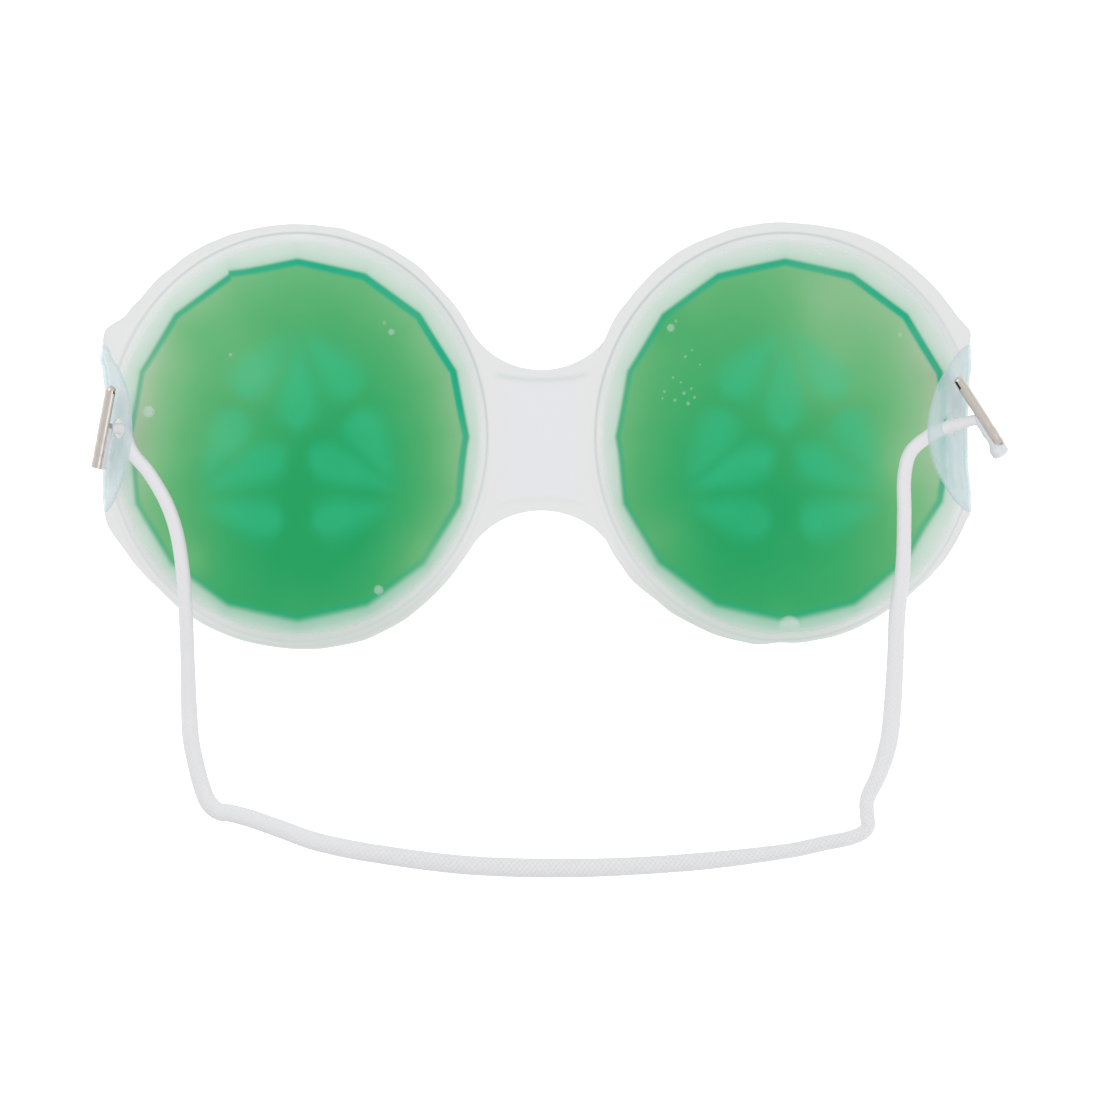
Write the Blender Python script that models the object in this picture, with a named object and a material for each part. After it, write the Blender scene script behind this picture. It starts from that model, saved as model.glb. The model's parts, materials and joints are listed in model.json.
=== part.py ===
"""A hot and cold gel eye mask, lying on its printed front with its face side up.

Two round gel pads are welded between two clear films and joined by a web over the nose. A tab at
each outer edge is folded over the face side and has a punched hole. A round elastic head cord
goes through each hole and ends in a crimped metal barb. Metres, +Z up, the table at z = 0.
"""

import math

import bmesh
import bpy
from mathutils import Matrix, Vector

# Pads: two upright ellipses in one plane, side by side along X.
PAD_X = 0.0535
SEAM_RADII = (0.0415, 0.0446)
FLANGE_RADII = (0.0438, 0.0466)
PRINT_RADII = (0.0373, 0.0392)
PRINT_CORNERS = 16
PRINT_SHARE_MOST = 0.9
FILM = 0.0004
GAP = 0.0003
FLANGE_Z = 0.00325
DOME_RISE = 0.0063
FLAT_SHARE = 0.7
GEL_SHARE = 0.92
SEAM_MARGIN = 0.001
AROUND = 48

# Bridge web between the pads, with a fold line at x = 0.
WEB_TOP_Y = 0.0149
WEB_LOW_Y = -0.0167
NOTCH_RADIUS = 0.018
WEB_THICK = 0.0008
WEB_TAPER = 0.0016
FOLD_EDGE = 0.00003

# Side tabs, folded over the face side about a line along Y.
TAB_THICK = 0.0007
TAB_BEND = 0.0009
TAB_LOW_Y = -0.0165
TAB_TOP_Y = 0.0215
TAB_DEPTH = 0.011
TAB_ARC_POWER = 0.72
TAB_START = 0.00015
HOLE_RADIUS = 0.0026
HOLE_DEPTH = 0.005
CORNER_FLARE = math.radians(16)
FOLD_Z = FLANGE_Z + TAB_BEND

# Each side: +1 is right. Tilt is how far the folded tab stands up from the pad.
SIDES = {
    "left": {"sign": -1, "fold_edge": 0.0958, "tilt": math.radians(55), "hole_y": 0.0018,
             "barb": (-0.0957, 0.0018, 0.0111), "along": (-0.0023, -0.0170, -0.0033)},
    "right": {"sign": 1, "fold_edge": 0.0942, "tilt": math.radians(44), "hole_y": 0.0024,
              "barb": (0.0970, 0.0042, 0.0123), "along": (0.0102, -0.0158, -0.0015)},
}

# Metal barb: a sleeve rolled from strip, with an open slot facing the hole.
BARB_RADIUS = 0.00115
BARB_WALL = 0.00035
BARB_SLOT = math.radians(80)
BARB_UP = 0.0096
BARB_DOWN = 0.0088
TIP_CORE_RADIUS = 0.0005
TIP_CORE_LENGTH = 0.0075
TIP_RADIUS = 0.0016
TIP_LENGTH = 0.0017

# Elastic head cord, from the left barb through the left hole, round the table and back.
CORD_RADIUS = 0.0017
CORD_END_LENGTH = 0.032
CORD_END_STEP = 0.0027
CORD_RUN_STEP = 0.0072
CORD_ROUTE = [
    (-0.09451, 0.0018, 0.01024), (-0.09242, 0.0018, 0.00877), (-0.0911, 0.0015, 0.0080),
    (-0.0902, 0.0003, 0.0076), (-0.0896, -0.0016, 0.0076), (-0.0884, -0.0040, 0.0079),
    (-0.0853, -0.0077, 0.0086), (-0.0815, -0.0145, 0.0090), (-0.0791, -0.0215, 0.0087),
    (-0.0779, -0.0300, 0.0076), (-0.0773, -0.0388, 0.0063), (-0.0773, -0.0490, 0.0035),
    (-0.0775, -0.0590, 0.00176), (-0.0770, -0.0665, 0.00176), (-0.0757, -0.0742, 0.00176),
    (-0.0731, -0.0796, 0.00176), (-0.0688, -0.0825, 0.00176), (-0.0630, -0.0840, 0.00176),
    (-0.0552, -0.0862, 0.00176), (-0.0367, -0.0906, 0.00176), (-0.0160, -0.0937, 0.00176),
    (0.0080, -0.0946, 0.00176), (0.0320, -0.0938, 0.00176), (0.0520, -0.0913, 0.00176),
    (0.0670, -0.0880, 0.00176), (0.0711, -0.0848, 0.00176), (0.0717, -0.0803, 0.00176),
    (0.0742, -0.0735, 0.00176), (0.0762, -0.0655, 0.00176), (0.0771, -0.0580, 0.00176),
    (0.0777, -0.0480, 0.0037), (0.0781, -0.0385, 0.0063), (0.0790, -0.0290, 0.0078),
    (0.0796, -0.0170, 0.0091), (0.0796, -0.0090, 0.0095), (0.0810, -0.0034, 0.0092),
    (0.0852, 0.0003, 0.0081), (0.0874, 0.0014, 0.0076), (0.08998, 0.0024, 0.0083),
    (0.09577, 0.00389, 0.0116),
]

COLOURS = {
    "film": (0.76, 0.79, 0.79, 1.0),
    "gel": (0.03, 0.38, 0.13, 1.0),
    "print": (0.10, 0.46, 0.27, 1.0),
    "web": (0.75, 0.77, 0.78, 1.0),
    "tab": (0.55, 0.67, 0.70, 1.0),
    "cord": (0.80, 0.79, 0.82, 1.0),
    "barb": (0.60, 0.54, 0.48, 1.0),
}


def clear_scene():
    for obj in list(bpy.data.objects):
        bpy.data.objects.remove(obj)


def material(slot, roughness, metallic=0.0):
    mat = bpy.data.materials.new(slot)
    mat.use_nodes = True
    shader = mat.node_tree.nodes["Principled BSDF"]
    shader.inputs["Base Color"].default_value = COLOURS[slot]
    shader.inputs["Roughness"].default_value = roughness
    shader.inputs["Metallic"].default_value = metallic
    return mat


def add_solid(name, verts, faces, mat, origin=(0, 0, 0)):
    """A closed mesh from world points, with its faces out and its origin where asked."""
    place = Vector(origin)
    mesh = bpy.data.meshes.new(name)
    mesh.from_pydata([Vector(v) - place for v in verts], [], faces)
    bm = bmesh.new()
    bm.from_mesh(mesh)
    bmesh.ops.recalc_face_normals(bm, faces=bm.faces)
    bm.to_mesh(mesh)
    bm.free()
    mesh.shade_smooth()
    mesh.set_sharp_from_angle(angle=math.radians(40))
    mesh.materials.append(mat)
    obj = bpy.data.objects.new(name, mesh)
    obj.location = place
    bpy.context.scene.collection.objects.link(obj)
    return obj


def parent_at(name, place, children):
    """An empty on a joint's axis that carries the pieces that turn about it."""
    pivot = bpy.data.objects.new(name, None)
    pivot.location = place
    bpy.context.scene.collection.objects.link(pivot)
    for child in children:
        child.parent = pivot
        child.matrix_parent_inverse = Matrix.Translation(-Vector(place))
    return pivot


def smoothstep(value):
    t = min(max(value, 0.0), 1.0)
    return t * t * (3 - 2 * t)


def ellipse_radius(radii, angle):
    return 1 / math.hypot(math.cos(angle) / radii[0], math.sin(angle) / radii[1])


def fold_x(side):
    """World x of the tab's fold axis."""
    return side["sign"] * (side["fold_edge"] - TAB_BEND - TAB_THICK / 2)


def flange_radius(side, angle):
    """The pad's outer edge, as a radius about its centre. Angle 0 points at the tab."""
    reach = abs(fold_x(side)) - TAB_START - PAD_X
    radius = ellipse_radius(FLANGE_RADII, angle)
    top, low = math.atan2(TAB_TOP_Y, reach), math.atan2(TAB_LOW_Y, reach)
    if low <= angle <= top:
        return reach / math.cos(angle)
    corner = top if angle > 0 else low
    excess = reach / math.cos(corner) - ellipse_radius(FLANGE_RADII, corner)
    return radius + excess * (1 - smoothstep(abs(angle - corner) / CORNER_FLARE))


def seam_radius(side, angle):
    return min(ellipse_radius(SEAM_RADII, angle), flange_radius(side, angle) - SEAM_MARGIN)


def print_radius(side, angle):
    """A regular polygon stretched to an ellipse, with a corner at the top."""
    half = math.pi / PRINT_CORNERS
    across = (angle % (2 * half)) - half
    radius = ellipse_radius(PRINT_RADII, angle) * math.cos(half) / math.cos(across)
    return min(radius, PRINT_SHARE_MOST * seam_radius(side, angle))


def top_z(share):
    """Outer surface of the face-side film. Share is 0 at the pad's centre and 1 at the seam."""
    flange_top = FLANGE_Z + GAP / 2 + FILM
    return flange_top + DOME_RISE * (1 - min(share, 1.0) ** 2)


def low_z(share):
    """Outer surface of the printed film: flat on the table, then up to the flange."""
    flange_low = FLANGE_Z - GAP / 2 - FILM
    return flange_low * smoothstep((share - FLAT_SHARE) / (1 - FLAT_SHARE))


def dish(name, side, shares, upper, lower, mat, outline=seam_radius, edge=None):
    """A closed shell between two heights over rings of a pad; edge adds a last, outer ring."""
    sign = side["sign"]
    angles = [math.pi * (2 * i / AROUND - 1) for i in range(AROUND)]
    verts = [(sign * PAD_X, 0, upper(0)), (sign * PAD_X, 0, lower(0))]
    rings = [(share, outline) for share in shares] + ([(1.0, edge)] if edge else [])
    for height in (upper, lower):
        for share, radius_at in rings:
            for angle in angles:
                radius = share * radius_at(side, angle)
                x = sign * (PAD_X + radius * math.cos(angle))
                z = height(radius / seam_radius(side, angle))
                verts.append((x, radius * math.sin(angle), z))
    faces = []
    for layer in (0, 1):
        base = 2 + layer * len(rings) * AROUND
        for i in range(AROUND):
            j = (i + 1) % AROUND
            faces.append((layer, base + i, base + j))
            for ring in range(len(rings) - 1):
                a, b = base + ring * AROUND, base + (ring + 1) * AROUND
                faces.append((a + i, b + i, b + j, a + j))
    rim_top, rim_low = 2 + (len(rings) - 1) * AROUND, 2 + (2 * len(rings) - 1) * AROUND
    for i in range(AROUND):
        j = (i + 1) % AROUND
        faces.append((rim_top + i, rim_low + i, rim_low + j, rim_top + j))
    return add_solid(name, verts, faces, mat)


def make_pad(label, side, mats):
    """The two films, the print between film and gel, and the gel of one pad."""
    shares = (0.3, 0.55, FLAT_SHARE, 0.8, 0.9, 1.0)
    back = dish(f"{label}_back_film", side, shares, top_z, lambda s: top_z(s) - FILM,
                mats["film"], edge=flange_radius)
    front = dish(f"{label}_front_film", side, shares, lambda s: low_z(s) + FILM, low_z,
                 mats["film"], edge=flange_radius)
    print_low = FILM + GAP
    print_top = print_low + GAP
    printed = dish(f"{label}_print", side, (0.4, 0.79, 0.89, 1.0),
                   lambda s: low_z(s) + print_top, lambda s: low_z(s) + print_low,
                   mats["print"], outline=print_radius)
    gel = dish(f"{label}_gel", side, (0.3, 0.55, FLAT_SHARE, 0.8, 0.87, GEL_SHARE),
               lambda s: top_z(s) - FILM - GAP, lambda s: low_z(s) + print_top + GAP, mats["gel"])
    return [back, front, printed, gel]


def web_edge_y(x, top):
    """The bridge's upper or lower edge, an arc that sweeps round into the pads."""
    rise = NOTCH_RADIUS - math.sqrt(NOTCH_RADIUS**2 - x**2)
    return WEB_TOP_Y + rise if top else WEB_LOW_Y - rise


def web_point(x, share):
    low, top = web_edge_y(x, False), web_edge_y(x, True)
    return low + (top - low) * share


def web_reach(share):
    """How far from x = 0 a line along the web goes before it meets the pad's edge."""
    near, far = 0.0, NOTCH_RADIUS * 0.75
    for _ in range(40):
        x = (near + far) / 2
        y = web_point(x, share)
        offset = math.hypot((PAD_X - x) / (FLANGE_RADII[0] + GAP), y / (FLANGE_RADII[1] + GAP))
        near, far = (x, far) if offset > 1 else (near, x)
    return near


def make_web(label, side, mats):
    """Half of the bridge, thin at the fold line so that it can fold either way."""
    rows, columns = 10, 7
    verts, faces = [], []
    for layer in (1, -1):
        for row in range(rows + 1):
            share = row / rows
            reach = web_reach(share)
            for column in range(columns + 1):
                x = GAP / 2 + (reach - GAP / 2) * column / columns
                thick = max(FOLD_EDGE, WEB_THICK / 2 * min(1.0, (x - GAP / 2) / WEB_TAPER))
                verts.append((side["sign"] * x, web_point(x, share), FLANGE_Z + layer * thick))
    wide, layer_size = columns + 1, (rows + 1) * (columns + 1)
    for base in (0, layer_size):
        for row in range(rows):
            for column in range(columns):
                a = base + row * wide + column
                faces.append((a, a + 1, a + 1 + wide, a + wide))
    border = list(range(wide))
    border += [row * wide + columns for row in range(1, rows + 1)]
    border += [rows * wide + column for column in range(columns - 1, -1, -1)]
    border += [row * wide for row in range(rows - 1, 0, -1)]
    for i, a in enumerate(border):
        b = border[(i + 1) % len(border)]
        faces.append((a, b, b + layer_size, a + layer_size))
    return add_solid(f"{label}_web", verts, faces, mats["web"])


def tab_frame(side):
    """The folded tab's axis point, its direction away from the fold and its outward normal."""
    sign, tilt = side["sign"], side["tilt"]
    axis = Vector((fold_x(side), 0, FOLD_Z))
    along = Vector((-sign * math.cos(tilt), 0, math.sin(tilt)))
    out = Vector((sign * math.sin(tilt), 0, math.cos(tilt)))
    return axis, along, out


def tab_point(side, depth, y, height=0.0):
    axis, along, out = tab_frame(side)
    return axis + along * depth + out * (TAB_BEND + height) + Vector((0, y, 0))


def tab_outline():
    """Points (depth, y) round the tab: along the fold, then back along its arc."""
    middle, half = (TAB_TOP_Y + TAB_LOW_Y) / 2, (TAB_TOP_Y - TAB_LOW_Y) / 2
    straight, arc = 10, 26
    points = [(TAB_START, middle + half * (2 * i / straight - 1)) for i in range(straight + 1)]
    for i in range(1, arc):
        u = math.cos(math.pi * i / arc)
        points.append((TAB_START + TAB_DEPTH * (1 - u * u) ** TAB_ARC_POWER, middle + half * u))
    return points


def make_tab(label, side, mats):
    """The folded tab with its punched hole."""
    outline = tab_outline()
    count = len(outline)
    verts, faces = [], []
    for height in (TAB_THICK / 2, -TAB_THICK / 2):
        for depth, y in outline:
            verts.append(tab_point(side, depth, y, height))
        for depth, y in outline:
            angle = math.atan2(y - side["hole_y"], depth - HOLE_DEPTH)
            inner = (HOLE_DEPTH + HOLE_RADIUS * math.cos(angle),
                     side["hole_y"] + HOLE_RADIUS * math.sin(angle))
            verts.append(tab_point(side, inner[0], inner[1], height))
    for i in range(count):
        j = (i + 1) % count
        for base in (0, 2 * count):
            faces.append((base + i, base + j, base + count + j, base + count + i))
        for ring in (0, count):
            faces.append((ring + i, ring + j, ring + j + 2 * count, ring + i + 2 * count))
    axis, _, _ = tab_frame(side)
    return add_solid(f"{label}_tab", verts, faces, mats["tab"], origin=axis)


def barb_frame(side, label):
    """The barb's centre and axes: x towards the hole, z down its length."""
    centre, along = Vector(side["barb"]), Vector(side["along"]).normalized()
    hole = tab_point(side, HOLE_DEPTH, side["hole_y"])
    towards = hole - centre
    towards = (towards - along * towards.dot(along)).normalized()
    across = along.cross(towards)
    return centre, Matrix((towards, across, along)).transposed()


def make_barb(label, side, mats):
    """The rolled sleeve, a C in section along its whole length."""
    centre, turn = barb_frame(side, label)
    steps = 12
    start, sweep = BARB_SLOT / 2, 2 * math.pi - BARB_SLOT
    section = []
    for radius, order in ((BARB_RADIUS, range(steps + 1)),
                          (BARB_RADIUS - BARB_WALL, range(steps, -1, -1))):
        for i in order:
            angle = start + sweep * i / steps
            section.append((radius * math.cos(angle), radius * math.sin(angle)))
    count = len(section)
    verts = [centre + turn @ Vector((x, y, z)) for z in (-BARB_UP, BARB_DOWN) for x, y in section]
    faces = [(i, (i + 1) % count, (i + 1) % count + count, i + count) for i in range(count)]
    for i in range(steps):
        inner = count - 1 - i
        faces.append((i, i + 1, inner - 1, inner))
        faces.append((i + count, i + 1 + count, inner - 1 + count, inner + count))
    return add_solid(f"{label}_barb", verts, faces, mats["barb"], origin=centre)


def make_cord_tip(label, side, mats):
    """The cord's end inside the barb's lower half, and its melted head just past the sleeve."""
    centre, turn = barb_frame(side, label)
    head = BARB_DOWN + GAP
    profile = [(TIP_CORE_RADIUS, head - TIP_CORE_LENGTH), (TIP_CORE_RADIUS, head),
               (TIP_RADIUS, head), (TIP_RADIUS, head + 0.6 * TIP_LENGTH),
               (0.6 * TIP_RADIUS, head + TIP_LENGTH)]
    sides = 12
    verts = []
    for radius, z in profile:
        for i in range(sides):
            angle = 2 * math.pi * i / sides
            point = Vector((radius * math.cos(angle), radius * math.sin(angle), z))
            verts.append(centre + turn @ point)
    faces = [tuple(range(sides)), tuple(range(len(verts) - sides, len(verts)))]
    for ring in range(len(profile) - 1):
        for i in range(sides):
            j = (i + 1) % sides
            a, b = ring * sides, (ring + 1) * sides
            faces.append((a + i, a + j, b + j, b + i))
    return add_solid(f"{label}_cord_tip", verts, faces, mats["cord"], origin=centre)


def smooth_route(points):
    """Close points along one smooth curve through the route, with the length at each."""
    pts = [Vector(p) for p in points]
    pts = [2 * pts[0] - pts[1]] + pts + [2 * pts[-1] - pts[-2]]
    dense = [pts[1]]
    for a, b, c, d in zip(pts, pts[1:], pts[2:], pts[3:]):
        for i in range(1, 25):
            t = i / 24
            dense.append(0.5 * (2 * b + (c - a) * t + (2 * a - 5 * b + 4 * c - d) * t**2
                                + (3 * b - a - 3 * c + d) * t**3))
    lengths = [0.0]
    for a, b in zip(dense, dense[1:]):
        lengths.append(lengths[-1] + (b - a).length)
    return dense, lengths


def route_between(route, start, end, step):
    """Evenly spaced points on the route from one length along it to another."""
    dense, lengths = route
    count = max(2, round((end - start) / step) + 1)
    points, i = [], 0
    for n in range(count):
        want = start + (end - start) * n / (count - 1)
        while i < len(lengths) - 2 and lengths[i + 1] < want:
            i += 1
        share = (want - lengths[i]) / (lengths[i + 1] - lengths[i])
        points.append(dense[i].lerp(dense[i + 1], share))
    return points


def make_cord(name, points, mats):
    curve = bpy.data.curves.new(name, "CURVE")
    curve.dimensions = "3D"
    curve.bevel_depth = CORD_RADIUS
    curve.bevel_resolution = 2
    curve.use_fill_caps = True
    spline = curve.splines.new("POLY")
    spline.points.add(len(points) - 1)
    for knot, point in zip(spline.points, points):
        knot.co = (*point, 1.0)
    curve.materials.append(mats["cord"])
    obj = bpy.data.objects.new(name, curve)
    bpy.context.scene.collection.objects.link(obj)
    return obj


def make_cords(mats):
    """The head cord: a stretch at each tab and the long run between them."""
    route = smooth_route(CORD_ROUTE)
    total = route[1][-1]
    left = route_between(route, 0, CORD_END_LENGTH, CORD_END_STEP)
    run = route_between(route, CORD_END_LENGTH + GAP, total - CORD_END_LENGTH - GAP,
                        CORD_RUN_STEP)
    right = route_between(route, total - CORD_END_LENGTH, total, CORD_END_STEP)
    make_cord("cord_run", run, mats)
    return {"left": make_cord("left_cord_end", left, mats),
            "right": make_cord("right_cord_end", right, mats)}


def main():
    clear_scene()
    mats = {
        "film": material("film", 0.22),
        "gel": material("gel", 0.3),
        "print": material("print", 0.45),
        "web": material("web", 0.25),
        "tab": material("tab", 0.25),
        "cord": material("cord", 0.9),
        "barb": material("barb", 0.4, metallic=0.9),
    }
    cord_ends = make_cords(mats)
    for label, side in SIDES.items():
        pad = make_pad(label, side, mats) + [make_web(label, side, mats)]
        tab = make_tab(label, side, mats)
        barb, tip = make_barb(label, side, mats), make_cord_tip(label, side, mats)
        parent_at(f"{label}_tab_fold", (fold_x(side), 0, FOLD_Z), [tab, cord_ends[label]])
        parent_at(f"{label}_barb_swivel", side["barb"], [barb, tip])
        if label == "right":
            parent_at("bridge_fold", (0, 0, FLANGE_Z), pad)


main()
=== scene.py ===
"""Looks of a hot and cold gel eye mask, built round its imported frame.

The mask lies on its printed front with its face side up. One clear film on the face side and one
printed film below are welded to each other round two gel pads and across the nose. A tab at each
outer edge is folded over, and the braided head cord goes through it into a metal barb.
Metres, +Z up, the table at z = 0.
"""

import json
from math import atan2, ceil, cos, degrees, exp, hypot, pi, radians, sin, sqrt, tan, tau
from types import SimpleNamespace

import bmesh
import bpy
import numpy as np
from mathutils import Matrix, Vector, noise
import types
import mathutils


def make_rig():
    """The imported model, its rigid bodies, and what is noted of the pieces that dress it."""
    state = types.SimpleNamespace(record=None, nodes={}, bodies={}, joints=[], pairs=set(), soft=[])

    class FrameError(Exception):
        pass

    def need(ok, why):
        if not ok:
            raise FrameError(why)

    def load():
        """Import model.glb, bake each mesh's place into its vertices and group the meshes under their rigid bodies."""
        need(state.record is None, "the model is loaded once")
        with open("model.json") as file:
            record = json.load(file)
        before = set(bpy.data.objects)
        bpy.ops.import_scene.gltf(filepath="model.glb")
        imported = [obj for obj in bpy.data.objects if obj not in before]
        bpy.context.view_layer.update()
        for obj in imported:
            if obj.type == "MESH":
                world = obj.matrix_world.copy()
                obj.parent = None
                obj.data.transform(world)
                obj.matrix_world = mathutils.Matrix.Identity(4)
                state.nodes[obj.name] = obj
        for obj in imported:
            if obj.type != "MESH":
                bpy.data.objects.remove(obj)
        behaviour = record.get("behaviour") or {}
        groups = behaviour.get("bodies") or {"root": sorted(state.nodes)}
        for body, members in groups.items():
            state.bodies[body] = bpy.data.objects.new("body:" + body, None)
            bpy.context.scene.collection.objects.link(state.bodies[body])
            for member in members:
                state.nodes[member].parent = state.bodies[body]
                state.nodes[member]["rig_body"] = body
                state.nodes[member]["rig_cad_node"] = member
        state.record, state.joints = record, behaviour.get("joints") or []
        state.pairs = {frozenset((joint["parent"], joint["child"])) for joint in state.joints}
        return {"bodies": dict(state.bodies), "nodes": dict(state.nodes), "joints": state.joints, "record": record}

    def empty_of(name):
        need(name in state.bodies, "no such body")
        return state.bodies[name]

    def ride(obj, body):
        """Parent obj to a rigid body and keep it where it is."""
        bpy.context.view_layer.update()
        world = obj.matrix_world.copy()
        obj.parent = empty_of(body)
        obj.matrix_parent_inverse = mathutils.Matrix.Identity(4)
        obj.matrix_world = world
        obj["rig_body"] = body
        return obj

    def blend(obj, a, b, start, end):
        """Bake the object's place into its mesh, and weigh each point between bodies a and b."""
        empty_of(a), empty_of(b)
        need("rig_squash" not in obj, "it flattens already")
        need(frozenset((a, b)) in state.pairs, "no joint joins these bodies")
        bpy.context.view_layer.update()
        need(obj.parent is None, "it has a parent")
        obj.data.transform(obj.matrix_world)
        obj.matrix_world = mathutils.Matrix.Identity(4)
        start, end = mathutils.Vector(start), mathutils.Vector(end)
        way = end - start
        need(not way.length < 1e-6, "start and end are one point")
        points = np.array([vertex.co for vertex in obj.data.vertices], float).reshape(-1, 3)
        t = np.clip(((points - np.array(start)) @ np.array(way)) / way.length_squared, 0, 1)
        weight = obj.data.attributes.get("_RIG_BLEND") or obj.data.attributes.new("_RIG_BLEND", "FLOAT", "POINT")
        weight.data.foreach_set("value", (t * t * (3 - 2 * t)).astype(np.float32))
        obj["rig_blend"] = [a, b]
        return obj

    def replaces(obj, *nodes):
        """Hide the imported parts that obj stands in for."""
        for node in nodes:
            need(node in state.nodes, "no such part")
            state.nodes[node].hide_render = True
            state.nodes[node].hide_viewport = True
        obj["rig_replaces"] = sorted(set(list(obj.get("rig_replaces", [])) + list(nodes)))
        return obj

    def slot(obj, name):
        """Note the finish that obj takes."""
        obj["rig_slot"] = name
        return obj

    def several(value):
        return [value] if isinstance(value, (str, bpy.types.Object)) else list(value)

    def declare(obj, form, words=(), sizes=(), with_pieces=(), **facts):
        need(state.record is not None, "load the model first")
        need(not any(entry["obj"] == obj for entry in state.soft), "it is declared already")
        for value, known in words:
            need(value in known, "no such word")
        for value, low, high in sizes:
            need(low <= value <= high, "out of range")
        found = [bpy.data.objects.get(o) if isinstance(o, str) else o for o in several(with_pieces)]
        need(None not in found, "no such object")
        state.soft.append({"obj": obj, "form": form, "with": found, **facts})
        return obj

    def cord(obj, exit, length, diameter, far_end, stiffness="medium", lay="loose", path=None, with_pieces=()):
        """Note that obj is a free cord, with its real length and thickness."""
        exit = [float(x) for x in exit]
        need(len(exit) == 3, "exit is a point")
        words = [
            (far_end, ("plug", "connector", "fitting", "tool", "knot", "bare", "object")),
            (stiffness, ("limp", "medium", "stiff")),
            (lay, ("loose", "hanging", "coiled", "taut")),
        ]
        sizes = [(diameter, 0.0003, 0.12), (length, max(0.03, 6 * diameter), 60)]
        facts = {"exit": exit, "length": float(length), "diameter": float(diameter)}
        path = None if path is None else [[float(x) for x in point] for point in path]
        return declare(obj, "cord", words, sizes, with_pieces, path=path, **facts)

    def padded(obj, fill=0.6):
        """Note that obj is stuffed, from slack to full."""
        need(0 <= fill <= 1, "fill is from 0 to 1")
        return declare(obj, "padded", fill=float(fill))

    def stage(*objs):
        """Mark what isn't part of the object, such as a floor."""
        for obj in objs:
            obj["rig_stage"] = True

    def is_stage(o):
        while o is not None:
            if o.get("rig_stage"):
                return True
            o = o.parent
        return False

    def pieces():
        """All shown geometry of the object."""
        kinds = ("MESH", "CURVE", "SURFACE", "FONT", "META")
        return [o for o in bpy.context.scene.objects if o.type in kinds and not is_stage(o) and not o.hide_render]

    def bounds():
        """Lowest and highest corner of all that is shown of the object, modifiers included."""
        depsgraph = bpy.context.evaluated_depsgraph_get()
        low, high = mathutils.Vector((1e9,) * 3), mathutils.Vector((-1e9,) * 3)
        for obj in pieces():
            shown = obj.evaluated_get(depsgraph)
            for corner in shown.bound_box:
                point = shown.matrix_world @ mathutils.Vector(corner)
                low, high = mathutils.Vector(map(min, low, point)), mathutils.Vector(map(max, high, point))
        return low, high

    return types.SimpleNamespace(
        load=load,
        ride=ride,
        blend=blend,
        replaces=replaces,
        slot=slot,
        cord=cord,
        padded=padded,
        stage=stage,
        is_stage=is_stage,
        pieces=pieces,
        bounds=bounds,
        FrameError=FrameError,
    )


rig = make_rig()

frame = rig.load()
cad_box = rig.bounds()

JOINT_POINTS = {joint["name"]: Vector(joint["pos_m"]) for joint in frame["joints"]}
MOUNT_POINTS = {mount["name"]: Vector(mount["pos_m"]) for mount in frame["record"]["mounts"]}

MM = 0.001
FLANGE_Z = JOINT_POINTS["bridge_fold"].z

# Pads: two upright ellipses, and on each a print with 16 straight sides.
SEAM_RADII = (41.5 * MM, 44.6 * MM)
FLANGE_RADII = (43.8 * MM, 46.6 * MM)
PRINT_RADII = (37.3 * MM, 39.2 * MM)
PRINT_CORNERS = 16
PRINT_SHARE_MOST = 0.935
PRINT_STEP = 0.6 * MM
PRINT_LOW_STRETCH = 1.03
FILM = 0.32 * MM
FLANGE_HALF = 0.55 * MM
DOME_RISE = 6.3 * MM
FLAT_SHARE = 0.7
LOW_RISE = 2.7 * MM
SEAM_MARGIN = 1.0 * MM
GEL_REACH = 0.985
GEL_ABOVE_FILM = 0.2 * MM
INK_TOP = 0.14 * MM
DOME_COVER = 0.004
WELD_COVER = 0.93
EDGE_RIM = 0.8
FILM_ANGLE_STEP = radians(1.5)
PAD_ANGLE_STEP = radians(1.9)
FIT = 0.04 * MM

# Bridge over the nose.
WEB_TOP_Y = 14.9 * MM
WEB_LOW_Y = -17.3 * MM
NOTCH_RADIUS = 18 * MM
WEB_HALF = 0.42 * MM
ATTACH_ANGLE = radians(148.4)
WEB_COLUMNS = 44

# Side tabs.
TAB_THICK = 0.62 * MM
TAB_BEND = 0.9 * MM
TAB_LOW_Y = -16.5 * MM
TAB_TOP_Y = 20.2 * MM
TAB_ARC_POWER = 0.75
TAB_START = 0.15 * MM
TAB_COVER = 0.5
HOLE_RADIUS = 2.3 * MM
HOLE_DEPTH = 5 * MM
CORNER_EASE = radians(2.5)

SIDES = {
    "left": SimpleNamespace(
        sign=-1, tilt=radians(55), hole_y=1.8 * MM, tab_depth=9.3 * MM,
        along=Vector((-3.2, -17.0, -3.3)), shift=Vector((-0.35, 0, 0)) * MM,
        notch=(0.6 * MM, 1.6 * MM), down=8.8 * MM, blob=0.45,
        deep=47, nose=0, lean=0.5 * MM, tuck=0.0),
    "right": SimpleNamespace(
        sign=1, tilt=radians(44), hole_y=2.4 * MM, tab_depth=11 * MM,
        along=Vector((10.2, -15.8, -1.5)), shift=Vector((-0.6, 0.7, 0)) * MM,
        notch=(0.4 * MM, 2.6 * MM), down=7.7 * MM, blob=1.12,
        deep=55, nose=48, lean=0.0, tuck=1.4 * MM),
}
for label, side in SIDES.items():
    side.label = label
    side.x = MOUNT_POINTS[f"{label}_pad_rest"].x
    side.fold = JOINT_POINTS[f"{label}_tab_fold"]
    side.barb = JOINT_POINTS[f"{label}_barb_swivel"]

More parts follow.
